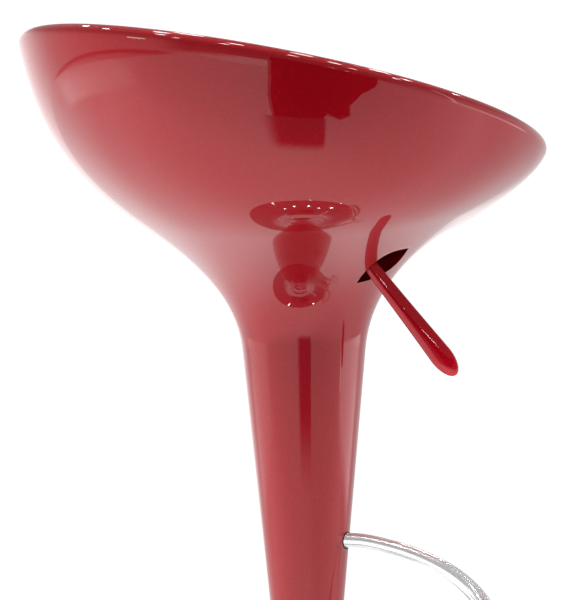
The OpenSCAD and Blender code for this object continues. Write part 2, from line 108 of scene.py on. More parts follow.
def pan_curve(a):
    up = heading(at_angle(RIM_ANGLE, a))
    edge = Vector((at_angle(RIM_R, a), at_angle(RIM_Z, a))) + 2 * BEAD_R * left_of(up) - PAN_GAP * up
    flat = Vector((at_angle(PAN_FLAT, a), PAN_LOW))
    return [Vector((0, PAN_LOW)), flat, edge - at_angle(PAN_REACH, a) * up, edge]


def shell_side(a, inset, steps_up):
    """Points up the shell at angle a, set in from the outside by inset."""
    neck_steps, flare_steps, bowl_steps = steps_up
    lean = inset * left_of(heading(NECK_LEAN))
    low = Vector((NECK_LOW[0] + lean.x, NECK_LOW[1]))
    high = Vector(NECK_HIGH) + lean
    flare, bowl = flare_curve(a), bowl_curve(a)
    points = [low.lerp(high, i / neck_steps) for i in range(neck_steps)]
    for curve, steps in ((flare, flare_steps), (bowl, bowl_steps)):
        # The bowl starts where the flare ends, so its first point is left out.
        first = 0 if curve is flare else 1
        for i in range(first, steps + 1):
            t = i / steps
            points.append(bezier(curve, t) + inset * left_of(bezier_dir(curve, t)))
    return points


def bead(a, steps):
    """The bead's half circle at angle a, from the outside over the top to the inside."""
    up = heading(at_angle(RIM_ANGLE, a))
    inward = left_of(up)
    middle = Vector((at_angle(RIM_R, a), at_angle(RIM_Z, a))) + BEAD_R * inward
    turns = [math.pi * i / steps for i in range(1, steps + 1)]
    return [middle - BEAD_R * math.cos(t) * inward + BEAD_R * math.sin(t) * up for t in turns]


def turned(point, a):
    """A (radius, height) point in millimetres as a place in metres, turned by a about the column's axis."""
    return Vector((point.x * math.cos(a), point.x * math.sin(a), point.y)) * MM


# ---------------------------------------------------------------- mesh helpers
def make_object(name, data):
    obj = bpy.data.objects.new(name, data)
    bpy.context.scene.collection.objects.link(obj)
    return obj


def finish_mesh(obj, sharp=38):
    """Smooth shading, with edges sharper than an angle kept crisp."""
    mesh = obj.data
    mesh.polygons.foreach_set("use_smooth", [True] * len(mesh.polygons))
    mesh.set_sharp_from_angle(angle=math.radians(sharp))
    mesh.update()
    return obj


def swept(name, rows, closed_profile=True, closed_round=True, poles=()):
    """A skin over rows of points: one row for each step round or along the shape. A pole closes a column."""
    verts = [p for row in rows for p in row]
    count, width = len(rows), len(rows[0])
    faces = []
    for i in range(count if closed_round else count - 1):
        here = i * width
        after = (i + 1) % count * width
        for j in range(width if closed_profile else width - 1):
            beside = (j + 1) % width
            faces.append((here + j, after + j, after + beside, here + beside))
    for column, point in poles:
        verts.append(point)
        for i in range(count):
            faces.append((i * width + column, (i + 1) % count * width + column, len(verts) - 1))
    mesh = bpy.data.meshes.new(name)
    mesh.from_pydata([tuple(v) for v in verts], [], faces)
    obj = make_object(name, mesh)
    bm = bmesh.new()
    bm.from_mesh(mesh)
    bmesh.ops.recalc_face_normals(bm, faces=bm.faces)
    bm.to_mesh(mesh)
    bm.free()
    return obj


def close_ends(obj):
    bm = bmesh.new()
    bm.from_mesh(obj.data)
    bmesh.ops.holes_fill(bm, edges=[e for e in bm.edges if e.is_boundary])
    bmesh.ops.recalc_face_normals(bm, faces=bm.faces)
    bm.to_mesh(obj.data)
    bm.free()


def bar(name, rows):
    """A solid along closed outlines, with both ends filled."""
    obj = swept(name, rows, closed_round=False)
    close_ends(obj)
    return obj


def lathe(name, profile, steps):
    """A turned solid from a closed profile of (radius, height) in millimetres."""
    rows = [[turned(Vector(p), 2 * math.pi * i / steps) for p in profile] for i in range(steps)]
    return finish_mesh(swept(name, rows))


# Points closer than WELD become one, and edges shorter than SLIVER go.
WELD, SLIVER = 0.02 * MM, 0.005 * MM


def cut(obj, cutters):
    """Cuts the cutters out of obj, deletes them, and cleans up the slivers that the cuts leave."""
    for cutter in cutters:
        mod = obj.modifiers.new("cut", "BOOLEAN")
        mod.object = cutter
        mod.operation = "DIFFERENCE"
        mod.solver = "EXACT"
    view = bpy.context.evaluated_depsgraph_get()
    mesh = bpy.data.meshes.new_from_object(obj.evaluated_get(view))
    obj.modifiers.clear()
    obj.data = mesh
    bm = bmesh.new()
    bm.from_mesh(mesh)
    bmesh.ops.remove_doubles(bm, verts=bm.verts, dist=WELD)
    bmesh.ops.dissolve_degenerate(bm, edges=bm.edges, dist=SLIVER)
    bmesh.ops.triangulate(bm, faces=[f for f in bm.faces if len(f.verts) > 4])
    bm.to_mesh(mesh)
    bm.free()
    for cutter in cutters:
        bpy.data.objects.remove(cutter)
    return obj


def rounded(points, radius, steps):
    """A closed outline with its corners rounded by arcs of about the given radius."""
    out = []
    count = len(points)
    for i, here in enumerate(points):
        here = Vector(here)
        before, after = Vector(points[i - 1]), Vector(points[(i + 1) % count])
        reach = min(radius, (before - here).length * 0.45, (after - here).length * 0.45)
        start = here + (before - here).normalized() * reach
        end = here + (after - here).normalized() * reach
        for k in range(steps + 1):
            t = k / steps
            out.append((1 - t) ** 2 * start + 2 * t * (1 - t) * here + t * t * end)
    return out


# ---------------------------------------------------------------- seat
# The slot is two arcs from LENS_A to LENS_B, as (x, z), each bulging by LENS_HALF.
LENS_A, LENS_B, LENS_HALF, LENS_STEPS = Vector((41.5, 447.3)), Vector((83.2, 475.1)), 4.9, 20
LENS_FROM_Y, LENS_TO_Y = -100.0, -15.0
# The lever slopes down by LEVER_DROP degrees, and its blade lies LEVER_SIDE off the line from its pivot.
PIVOT = Vector((21.0, -57.0, 492.0))
LEVER_DROP, LEVER_LEN, LEVER_SIDE = 52.7, 152.8, 6.5
# The opening also clears a box round the blade at these lifts in degrees, from and to these places along it.
ROOM_FROM, ROOM_TO, ROOM_HALF, ROOM_THICK = 38, 72, 7.4, 2.8
ROOM_LIFTS = (0, 7.25, 14.5)
# The footrest's legs leave the neck at this height, this far to each side.
LEG_Y, LEG_Z, BAR_R = 12.0, 246.4, 6.0
LEG_HOLE_R, LEG_HOLE_STEPS, LEG_HOLE_FROM_X, LEG_HOLE_TO_X = BAR_R + 1, 48, 15.0, 45.0


def lens_cutter():
    """The lens-shaped opening for the lever, run through the shell's wall along Y."""
    chord = (LENS_B - LENS_A).length
    arc_r = (chord * chord / 4 + LENS_HALF**2) / (2 * LENS_HALF)
    along = (LENS_B - LENS_A).normalized()
    across = left_of(along)
    middle = (LENS_A + LENS_B) / 2
    half_turn = math.asin(chord / 2 / arc_r)
    outline = []
    for side in (1, -1):
        for i in range(LENS_STEPS):
            t = -half_turn + 2 * half_turn * i / LENS_STEPS
            x = arc_r * math.sin(t) * side
            outline.append(middle + along * x + across * side * (arc_r * math.cos(t) - arc_r + LENS_HALF))
    rows = [[Vector((p.x, y, p.y)) * MM for p in outline] for y in (LENS_FROM_Y, LENS_TO_Y)]
    return bar("lens_cutter", rows)


def blade_room(lift):
    """A box round the lever where it passes through the shell, with the lever raised by lift degrees."""
    place = lever_frame(lift)
    rows = []
    for x in (ROOM_FROM, ROOM_TO):
        corners = [(side * ROOM_HALF, -ROOM_THICK) for side in (-1, 1)]
        corners += [(side * ROOM_HALF, ROOM_THICK) for side in (1, -1)]
        rows.append([place @ Vector((x, LEVER_SIDE + y, z)) for y, z in corners])
    return bar("blade_room", rows)


def leg_cutter(y):
    """The hole in the neck's front for one leg of the footrest bar."""
    turns = [2 * math.pi * i / LEG_HOLE_STEPS for i in range(LEG_HOLE_STEPS)]
    ring = [(y + LEG_HOLE_R * math.cos(t), LEG_Z + LEG_HOLE_R * math.sin(t)) for t in turns]
    rows = [[Vector((x, *p)) * MM for p in ring] for x in (LEG_HOLE_FROM_X, LEG_HOLE_TO_X)]
    return bar("leg_cutter", rows)


def make_shell():
    rows = []
    for i in range(AROUND):
        a = 2 * math.pi * i / AROUND
        outside = shell_side(a, 0, OUTSIDE_STEPS)
        inside = shell_side(a, WALL, INSIDE_STEPS)
        rows.append([turned(p, a) for p in outside + bead(a, BEAD_STEPS) + inside[::-1]])
    obj = swept("seat_shell_skin", rows)
    rooms = [blade_room(lift) for lift in ROOM_LIFTS]
    cut(obj, [lens_cutter(), *rooms, leg_cutter(-LEG_Y), leg_cutter(LEG_Y)])
    finish_mesh(obj)
    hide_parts("seat_shell")
    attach(obj, "seat")
    return obj


def make_pan():
    """The inside of the bowl: a sheet up to just under the bead. All its curves start in the middle."""
    rows = []
    for i in range(AROUND):
        a = 2 * math.pi * i / AROUND
        curve = pan_curve(a)
        top = [bezier(curve, k / PAN_STEPS) for k in range(1, PAN_STEPS + 1)]
        under = []
        for k in range(PAN_STEPS, 0, -PAN_UNDER_STRIDE):
            t = k / PAN_STEPS
            under.append(bezier(curve, t) - PAN_WALL * left_of(bezier_dir(curve, t)))
        rows.append([turned(p, a) for p in top + under])
    last = len(rows[0]) - 1
    poles = ((0, Vector((0, 0, PAN_LOW)) * MM), (last, Vector((0, 0, PAN_LOW - PAN_WALL)) * MM))
    obj = swept("seat_pan_skin", rows, closed_profile=False, poles=poles)
    finish_mesh(obj)
    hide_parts("seat_pan")
    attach(obj, "seat")
    return obj


# ---------------------------------------------------------------- lever
BLADE_START, BLADE_STEPS, TIP_LEN, TIP_STEPS = 24.0, 44, 19.0, 18
# Half the blade's width, how much it widens, and where along the lever.
BLADE_HALF, BLADE_WIDER, WIDEN_FROM, WIDEN_LEN, WIDEN_POWER = 6, 3.6, 45, LEVER_LEN - 55, 1.2
# Half the blade's thickness, which swells by BLADE_SWELL over SWELL_LEN.
BLADE_THICK, BLADE_SWELL, SWELL_FROM, SWELL_LEN = 2.65, 0.95, 64, 26
# Keeps the tip's last ring from closing to a point.
TIP_LEAST = 0.0004


def lever_frame(lift=0):
    """Lever coordinates: millimetres, X down the lever, Y across it upwards, Z to the sitter's right."""
    turn = math.radians(LEVER_DROP - lift)
    x = Vector((math.cos(turn), 0, -math.sin(turn)))
    z = Vector((0, -1, 0))
    y = z.cross(x)
    m = Matrix((x, y, z)).transposed().to_4x4()
    m.translation = PIVOT
    return Matrix.Scale(MM, 4) @ m


def blade_half(s):
    """Half the blade's width at s millimetres down the lever."""
    widening = max(0.0, (s - WIDEN_FROM) / WIDEN_LEN) ** WIDEN_POWER
    return BLADE_HALF + BLADE_WIDER * widening


def blade_thick(s):
    swell = min(1.0, max(0.0, (s - SWELL_FROM) / SWELL_LEN))
    return BLADE_THICK + BLADE_SWELL * swell * swell * (3 - 2 * swell)


def make_blade():
    """A widening blade with a ridge along its near face and a long rounded tip."""
    tip_start = LEVER_LEN - TIP_LEN
    place = lever_frame() @ Matrix.Translation((0, LEVER_SIDE, 0))
    rows = []
    stations = [BLADE_START + (tip_start - BLADE_START) * i / BLADE_STEPS for i in range(BLADE_STEPS)]
    stations += [tip_start + TIP_LEN * math.sin(math.pi / 2 * i / TIP_STEPS) for i in range(TIP_STEPS + 1)]
    for s in stations:
        beyond = max(0.0, s - tip_start) / TIP_LEN
        half = blade_half(min(s, tip_start)) * math.sqrt(max(TIP_LEAST, 1 - beyond * beyond))
        thick = blade_thick(s) * math.sqrt(max(TIP_LEAST, 1 - beyond**4))
        ridge = -0.42 + 0.30 * (s - BLADE_START) / (LEVER_LEN - BLADE_START)
        outline = [(-half, -0.2 * thick), (-half * 0.88, 0.5 * thick), (half * ridge, thick)]
        outline += [(half * 0.88, 0.5 * thick), (half, -0.2 * thick)]
        outline += [(half * 0.7, -thick), (-half * 0.7, -thick)]
        ring = rounded(outline, 1.5 + 0.1 * half, steps=4)
        rows.append([place @ Vector((s, p.x, p.y)) for p in ring])
    obj = bar("lever_blade_skin", rows)
    finish_mesh(obj, sharp=60)
    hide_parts("lever_blade")
    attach(obj, "lever")
    return obj


# ---------------------------------------------------------------- footrest
BAR_SIDES, ROUTE_STEPS = 32, 10
# The corner between a leg and the foot rail, its middle as (y, z).
CORNER_R = 22.0
CORNER_MID = (LEG_Y + 66, LEG_Z - 115)
# A leg's middle line: x, and y and z from where it leaves the neck.
LEG_ROUTE = [
    (27.5, 0, 0.5), (44, 0, -0.6), (60, 1, -4), (80, 3, -10), (100, 7, -18.5),
    (117, 13, -28.5), (131, 21, -41), (141.5, 33, -56), (148, 49, -72), (151, 66, -87),
]


def footrest_route():
    """The bar's middle line from one end to the other: leg, corner, rail, and the same mirrored."""
    half = [Vector((x, LEG_Y + y, LEG_Z + z)) for x, y, z in LEG_ROUTE]
    # The corner goes from 38 degrees above level to straight below its middle.
    for t in range(38, -91, -32):
        out = heading(t) * CORNER_R
        half.append(Vector((150 + t / 35, CORNER_MID[0] + out.x, CORNER_MID[1] + out.y)))
    rail_z = CORNER_MID[1] - CORNER_R
    half += [Vector((147, 45, rail_z)), Vector((146.5, 16, rail_z))]
    return half + [Vector((p.x, -p.y, p.z)) for p in reversed(half)]


def smooth(points, k):
    """Points along a smooth curve through the given ones, k steps to each stretch."""
    out = []
    last = len(points) - 1
    for i in range(last):
        p0, p1, p2, p3 = points[max(i - 1, 0)], points[i], points[i + 1], points[min(i + 2, last)]
        for j in range(k):
            t = j / k
            out.append(
                (2 * p1 + (p2 - p0) * t + (2 * p0 - 5 * p1 + 4 * p2 - p3) * t * t
                 + (3 * p1 - p0 - 3 * p2 + p3) * t**3) / 2
            )
    return out + [points[last]]


def make_footrest():
    route = smooth(footrest_route(), ROUTE_STEPS)
    turns = [2 * math.pi * j / BAR_SIDES for j in range(BAR_SIDES)]
    rows = []
    last = len(route) - 1
    for i, p in enumerate(route):
        d = (route[min(i + 1, last)] - route[max(i - 1, 0)]).normalized()
        u = d.cross(Vector((1 - abs(d.x), 0, abs(d.x)))).normalized()
        v = d.cross(u)
        rows.append([(p + BAR_R * (math.cos(t) * u + math.sin(t) * v)) * MM for t in turns])
    obj = bar("footrest_bar_skin", rows)
    finish_mesh(obj)
    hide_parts("footrest_bar")
    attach(obj, "seat")
    return obj


# ---------------------------------------------------------------- base and column
BASE_R, TRUMPET_TOP, COLUMN_R, COLUMN_LOW, COLUMN_TOP, SHEET = 192.5, 172.0, 25.0, 16.0, 400.0, 2.0
# The trumpet's outline as (radius, height): a curve with two handles, from its edge up to the column.
TRUMPET_CURVE = [(BASE_R, 8), (120, 22), (29, 45), (COLUMN_R + 2.5, TRUMPET_TOP)]
TRUMPET_EDGE = [(BASE_R - 0.6, 3), (BASE_R, 3.6), (BASE_R, 7.2), (BASE_R - 0.3, 7.9)]
TRUMPET_STEPS, TRUMPET_INSIDE_STRIDE = 90, 3
# The clearance round the column of the parts that touch it.
SLIP = 0.05


def make_trumpet():
    curve = [Vector(p) for p in TRUMPET_CURVE]
    outer = [bezier(curve, i / TRUMPET_STEPS) for i in range(TRUMPET_STEPS + 1)]
    inner = []
    for i in range(TRUMPET_STEPS, -1, -TRUMPET_INSIDE_STRIDE):
        t = i / TRUMPET_STEPS
        inner.append(bezier(curve, t) + SHEET * left_of(bezier_dir(curve, t)))
    profile = TRUMPET_EDGE + outer[1:] + inner + [(BASE_R - SHEET, TRUMPET_EDGE[0][1])]
    obj = lathe("base_trumpet_skin", profile, steps=256)
    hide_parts("base_trumpet")
    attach(obj, "base")
    return obj


def make_column():
    r, top, low = COLUMN_R, COLUMN_TOP, COLUMN_LOW
    profile = [(r - 2, low), (r, low), (r, top - 0.8), (r - 0.3, top - 0.2), (r - 0.8, top), (r - 2, top)]
    obj = lathe("stand_tube_skin", profile, steps=160)
    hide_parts("stand_tube")
    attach(obj, "base")
    return obj


def make_floor_ring():
    r = BASE_R
    foot = [(r - 14, 0.6), (r - 13.4, 0), (r - 1.6, 0), (r - 1, 0.6)]
    profile = foot + [(r - 1, 3), (r - 5, 3), (r - 5, 5), (r - 9, 5), (r - 9, 3), (r - 14, 3)]
    obj = lathe("floor_ring_skin", profile, steps=192)
    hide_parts("floor_ring")
    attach(obj, "base")
    return obj


def make_collar():
    r, z = COLUMN_R + SLIP, TRUMPET_TOP
    profile = rounded([(r, z), (r + 3.4, z), (r + 2.9, z + 3), (r, z + 5)], 0.8, steps=4)
    obj = lathe("column_collar_skin", profile, steps=128)
    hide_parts("column_collar")
    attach(obj, "base")
    return obj


def make_guide_ring():
    r = COLUMN_R + SLIP
    neck_r, z = NECK_LOW
    profile = [(r, z - 2.4), (r + 0.6, z - 3), (neck_r - 0.8, z - 3), (neck_r, z - 2.2)]
    profile += [(neck_r, z), (neck_r - WALL, z), (neck_r - WALL, z + 16), (r, z + 16)]
    obj = lathe("neck_guide_ring_skin", profile, steps=128)
    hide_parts("neck_guide_ring")
    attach(obj, "seat")
    return obj


# ---------------------------------------------------------------- materials
def new_material(name):
    mat = bpy.data.materials.new(name)
    mat.use_nodes = True
    tree = mat.node_tree
    tree.nodes.clear()
    out = tree.nodes.new("ShaderNodeOutputMaterial")
    shader = tree.nodes.new("ShaderNodeBsdfPrincipled")
    tree.links.new(shader.outputs[0], out.inputs[0])
    return mat, tree, shader


def add(tree, kind, **settings):
    node = tree.nodes.new(kind)
    for key, value in settings.items():
        setattr(node, key, value)
    return node


def set_inputs(node, values):
    for key, value in values.items():
        node.inputs[key].default_value = value


def ramp(tree, stops):
    node = tree.nodes.new("ShaderNodeValToRGB")
    while len(node.color_ramp.elements) < len(stops):
        node.color_ramp.elements.new(0.5)
    for element, (place, colour) in zip(node.color_ramp.elements, stops):
        element.position = place
        element.color = (*colour, 1)
    return node


def noise(tree, coords, scale, detail, rough=0.5, stretch=None):
    """Noise on the object's own coordinates, stretched along axes if asked."""
    source = coords
    if stretch:
        mapping = add(tree, "ShaderNodeMapping")
        mapping.inputs["Scale"].default_value = stretch
        tree.links.new(coords, mapping.inputs["Vector"])
        source = mapping.outputs[0]
    node = add(tree, "ShaderNodeTexNoise")
    set_inputs(node, {"Scale": scale, "Detail": detail, "Roughness": rough})
    tree.links.new(source, node.inputs["Vector"])
    return node


def bump(tree, height, strength, distance):
    node = add(tree, "ShaderNodeBump")
    set_inputs(node, {"Strength": strength, "Distance": distance})
    tree.links.new(height, node.inputs["Height"])
    return node


def spread(tree, source, low, high):
    """Maps a 0 to 1 value to a range."""
    node = add(tree, "ShaderNodeMapRange")
    set_inputs(node, {"To Min": low, "To Max": high})
    tree.links.new(source, node.inputs[0])
    return node


def ease(tree, source, clear, full, high=1.0):
    """A value that rises smoothly from 0, where the source is clear, to high, where it is full."""
    node = add(tree, "ShaderNodeMapRange", interpolation_type="SMOOTHSTEP")
    set_inputs(node, {"From Min": clear, "From Max": full, "To Min": 0.0, "To Max": high})
    tree.links.new(source, node.inputs[0])
    return node.outputs[0]


# Sizes of the surface grains, as noise scales per metre, and how deep their bumps are, in metres.
FLAKE_SCALE, FLAKE_DEPTH = 1500.0, 0.0002
PEEL_SCALE, PEEL_STRENGTH, PEEL_DEPTH = 120, 0.03, 0.0003
SMEAR_SCALE, GRIND_SCALE, GRIND_STRETCH, GRIND_DEPTH = 22, 900, (1, 1, 6), 0.00005
SKIN_DEPTH = 0.0003


def red_lacquer(name, colours, flake):
    """Deep red with fine metallic flakes under a gloss clearcoat."""
    mat, tree, shader = new_material(name)
    set_inputs(shader, {
        "Metallic": 0.35,
        "IOR": 1.4,
        "Specular IOR Level": 0.04,
        "Coat Weight": 1.0,
        "Coat Roughness": 0.012,
        "Coat IOR": 1.5,
    })
    coords = add(tree, "ShaderNodeTexCoord").outputs["Object"]
    flakes = add(tree, "ShaderNodeTexVoronoi")
    set_inputs(flakes, {"Scale": FLAKE_SCALE})
    tree.links.new(coords, flakes.inputs["Vector"])
    tint = ramp(tree, list(zip((0.0, 0.8, 1.0), colours)))
    tree.links.new(flakes.outputs["Color"], tint.inputs[0])
    tree.links.new(tint.outputs[0], shader.inputs["Base Color"])
    grade = spread(tree, flakes.outputs["Distance"], 0.36, 0.48)
    tree.links.new(grade.outputs[0], shader.inputs["Roughness"])
    flake_bump = bump(tree, flakes.outputs["Distance"], flake, FLAKE_DEPTH)
    tree.links.new(flake_bump.outputs[0], shader.inputs["Normal"])
    peel = bump(tree, noise(tree, coords, PEEL_SCALE, detail=2).outputs[0], PEEL_STRENGTH, PEEL_DEPTH)
    tree.links.new(peel.outputs[0], shader.inputs["Coat Normal"])
    return mat


def metal(name, colour, roughness, grain, metallic=1.0):
    """Plated or ground metal with faint smears and a fine grain."""
    mat, tree, shader = new_material(name)
    set_inputs(shader, {"Metallic": metallic})
    coords = add(tree, "ShaderNodeTexCoord").outputs["Object"]
    smears = noise(tree, coords, SMEAR_SCALE, detail=5, rough=0.6)
    low = [c * 0.94 for c in colour]
    tint = ramp(tree, [(0.3, low), (0.7, colour)])
    tree.links.new(smears.outputs[0], tint.inputs[0])
    tree.links.new(tint.outputs[0], shader.inputs["Base Color"])
    gloss = spread(tree, smears.outputs[0], roughness * 0.7, roughness * 1.4)
    tree.links.new(gloss.outputs[0], shader.inputs["Roughness"])
    lines = noise(tree, coords, GRIND_SCALE, detail=2, stretch=GRIND_STRETCH)
    fine = bump(tree, lines.outputs[0], grain, GRIND_DEPTH)
    tree.links.new(fine.outputs[0], shader.inputs["Normal"])
    return mat


def plain(name, colour, roughness, scale, grain, spec=0.5):
    """Rubber, moulded plastic, powder coat or cast iron: a mottled colour and a fine skin texture."""
    mat, tree, shader = new_material(name)
    set_inputs(shader, {"Specular IOR Level": spec})
    coords = add(tree, "ShaderNodeTexCoord").outputs["Object"]
    skin = noise(tree, coords, scale, detail=4, rough=0.6)
    low = [c * 0.82 for c in colour]
    tint = ramp(tree, [(0.3, low), (0.7, colour)])
    tree.links.new(skin.outputs[0], tint.inputs[0])
    tree.links.new(tint.outputs[0], shader.inputs["Base Color"])
    gloss = spread(tree, skin.outputs[0], roughness * 0.85, min(1.0, roughness * 1.15))
    tree.links.new(gloss.outputs[0], shader.inputs["Roughness"])
    texture = bump(tree, skin.outputs[0], grain, SKIN_DEPTH)
    tree.links.new(texture.outputs[0], shader.inputs["Normal"])
    return mat


# A flake's colour: most flakes lie between the first two, a few between the second and the brighter third.
SHELL_REDS = ((0.262, 0.0014, 0.0056), (0.31, 0.002, 0.0077), (0.48, 0.009, 0.02))
# Painted light: the lever's reds are the shell's red lacquer made brighter, to light the blade that the bowl
# shades. Its weaker flake bump is its own.
LIT_LEVER_REDS = ((0.37, 0.0014, 0.008), (0.41, 0.0018, 0.010), (0.50, 0.008, 0.02))

MATERIALS = {
    "shell_red": red_lacquer("shell_red", SHELL_REDS, flake=0.06),
    "lever_red": red_lacquer("lever_red", LIT_LEVER_REDS, flake=0.03),
    # The footrest's chrome is only partly metallic. Its pale diffuse part is a painted reflection of the
    # white room it mirrors.
    "pale_chrome": metal("pale_chrome", (0.91, 0.915, 0.91), roughness=0.15, grain=0.03, metallic=0.62),
    "chrome_plate": metal("chrome_plate", (0.86, 0.87, 0.88), roughness=0.05, grain=0.02),
    "zinc_steel": metal("zinc_steel", (0.55, 0.55, 0.53), roughness=0.32, grain=0.2),
    "bearing_steel": metal("bearing_steel", (0.62, 0.62, 0.64), roughness=0.16, grain=0.1),
    "alu_part": metal("alu_part", (0.72, 0.72, 0.73), roughness=0.28, grain=0.2),
    "brass_part": metal("brass_part", (0.66, 0.46, 0.17), roughness=0.25, grain=0.15),
    "cast_ballast": plain("cast_ballast", (0.10, 0.10, 0.105), roughness=0.7, scale=180, grain=0.6),
    "black_sheet": plain("black_sheet", (0.03, 0.03, 0.032), roughness=0.42, scale=700, grain=0.25),
    "black_rubber": plain("black_rubber", (0.022, 0.022, 0.022), 0.62, scale=400, grain=0.3, spec=0.4),
    "natural_plastic": plain("natural_plastic", (0.62, 0.61, 0.57), roughness=0.45, scale=300, grain=0.12),
}


def dress(obj, material_slot):
    obj.data.materials.clear()
    obj.data.materials.append(MATERIALS[material_slot])


SLOTS = {row["node"]: row["material_slot"] for row in frame["record"]["subparts"]}
for node_name, node_obj in frame["nodes"].items():
    dress(node_obj, SLOTS[node_name])

for piece, material_slot in (
    (make_shell(), "shell_red"),
    (make_pan(), "shell_red"),
    (make_blade(), "lever_red"),
    (make_footrest(), "pale_chrome"),
    (make_trumpet(), "chrome_plate"),
    (make_column(), "chrome_plate"),
    (make_floor_ring(), "black_rubber"),
    (make_collar(), "black_rubber"),
    (make_guide_ring(), "natural_plastic"),
):
    dress(piece, material_slot)


# ---------------------------------------------------------------- studio
def flat_mesh(name, corners):
    mesh = bpy.data.meshes.new(name)
    mesh.from_pydata(corners, [], [tuple(range(len(corners)))])
    return make_object(name, mesh)


def output_node(tree):
    return next(node for node in tree.nodes if node.type == "OUTPUT_MATERIAL")


def camera_switch(tree, unseen, seen):
    """Shows one shader to the camera and the other to reflections and light."""
    pick = add(tree, "ShaderNodeMixShader")
    path = add(tree, "ShaderNodeLightPath")
    tree.links.new(path.outputs["Is Camera Ray"], pick.inputs[0])
    tree.links.new(unseen.outputs[0], pick.inputs[1])
    tree.links.new(seen.outputs[0], pick.inputs[2])
    return pick


def blend(tree, pick, place, first, second):
    """Two greys mixed by pick; each is a ramp's stops over place, or a colour that is already there."""
    mix = add(tree, "ShaderNodeMix", data_type="RGBA")
    tree.links.new(pick, mix.inputs["Factor"])
    for stops, socket in ((first, "A"), (second, "B")):
        if isinstance(stops, list):
            shades = ramp(tree, [(at, (level, level, level)) for at, level in stops])
            tree.links.new(place, shades.inputs[0])
            source = shades.outputs[0]
        else:
            source = stops
        tree.links.new(source, next(i for i in mix.inputs if i.name == socket and i.type == "RGBA"))
    return next(o for o in mix.outputs if o.type == "RGBA")


# The floor reaches this far each way. It is bare close to the stool and glows white further off, in metres.
FLOOR_HALF, BARE_TO, WHITE_FROM, WHITE_GLOW = 6.0, 0.3, 1.5, 1.05
FLOOR_CORNERS = [(-FLOOR_HALF, -FLOOR_HALF, 0), (FLOOR_HALF, -FLOOR_HALF, 0)]
FLOOR_CORNERS += [(FLOOR_HALF, FLOOR_HALF, 0), (-FLOOR_HALF, FLOOR_HALF, 0)]
# What reflections see of it: brightness at places from the front, 0, to the back, 1, of a span in metres.
FLOOR_SPAN, FLOOR_GLOW = (-3.0, 3.0), 2.0
FLOOR_LEFT = [(0.0, 0.58), (0.28, 0.66), (0.40, 0.80), (0.525, 0.80), (0.60, 0.65), (0.80, 0.60), (1.0, 0.55)]
FLOOR_RIGHT = [(0.0, 0.45), (0.28, 0.55), (0.40, 0.65), (0.50, 0.70), (0.57, 0.50), (0.65, 0.43), (1.0, 0.37)]
# Along X the left part of the floor turns into the right part between these places.
LEFT_TO_RIGHT = (-0.1, 0.6)


def make_floor():
    """A pale floor that turns white away from the stool. Reflections see it brighter and dimmer in places."""
    floor = flat_mesh("studio_floor", FLOOR_CORNERS)
    mat, tree, shader = new_material("studio_floor")
    set_inputs(shader, {
        "Base Color": (0.6, 0.6, 0.6, 1),
        "Roughness": 0.9,
        "Emission Color": (1, 1, 1, 1),
    })
    coords = add(tree, "ShaderNodeTexCoord").outputs["Object"]
    away = add(tree, "ShaderNodeVectorMath", operation="LENGTH")
    tree.links.new(coords, away.inputs[0])
    glow = ease(tree, away.outputs["Value"], BARE_TO, WHITE_FROM, high=WHITE_GLOW)
    tree.links.new(glow, shader.inputs["Emission Strength"])
    split = add(tree, "ShaderNodeSeparateXYZ")
    tree.links.new(coords, split.inputs[0])
    along = add(tree, "ShaderNodeMapRange")
    set_inputs(along, {"From Min": FLOOR_SPAN[0], "From Max": FLOOR_SPAN[1]})
    tree.links.new(split.outputs["Y"], along.inputs[0])
    right = ease(tree, split.outputs["X"], *LEFT_TO_RIGHT)
    shades = blend(tree, right, along.outputs[0], FLOOR_LEFT, FLOOR_RIGHT)
    mirrored = add(tree, "ShaderNodeEmission")
    set_inputs(mirrored, {"Strength": FLOOR_GLOW})
    tree.links.new(shades, mirrored.inputs["Color"])
    tree.links.new(camera_switch(tree, mirrored, shader).outputs[0], output_node(tree).inputs[0])
    floor.data.materials.append(mat)


# What reflections see of the room: brightness at places from just below the horizon, 0, to straight up, 1.
ROOM_BOTTOM, ROOM_GLOW = -0.2, 1.7
FRONT_STOPS = [(0.0, 0.9), (0.10, 0.9), (0.112, 0.10), (0.125, 0.16), (0.20, 0.11), (1.0, 0.16)]
SIDE_STOPS = [(0.0, 0.48), (0.093, 0.48), (0.095, 0.16), (0.103, 0.16), (0.105, 0.48)]
SIDE_STOPS += [(0.20, 0.44), (0.50, 0.20)]
BACK_STOPS = [(0.0, 0.85), (0.36, 0.85), (0.50, 0.24), (1.0, 0.20)]
BACK_RIGHT_STOPS = [(0.0, 0.46), (0.36, 0.46), (0.50, 0.24), (1.0, 0.20)]
# Each part begins where the direction's share along +Y, or along BACK_RIGHT, passes from one to the other.
SIDE_EDGE, BACK_EDGE, BACK_RIGHT_EDGE = (-0.72, -0.48), (0.50, 0.95), (0.62, 0.78)
BACK_RIGHT = (0.8, 0.6, 0)


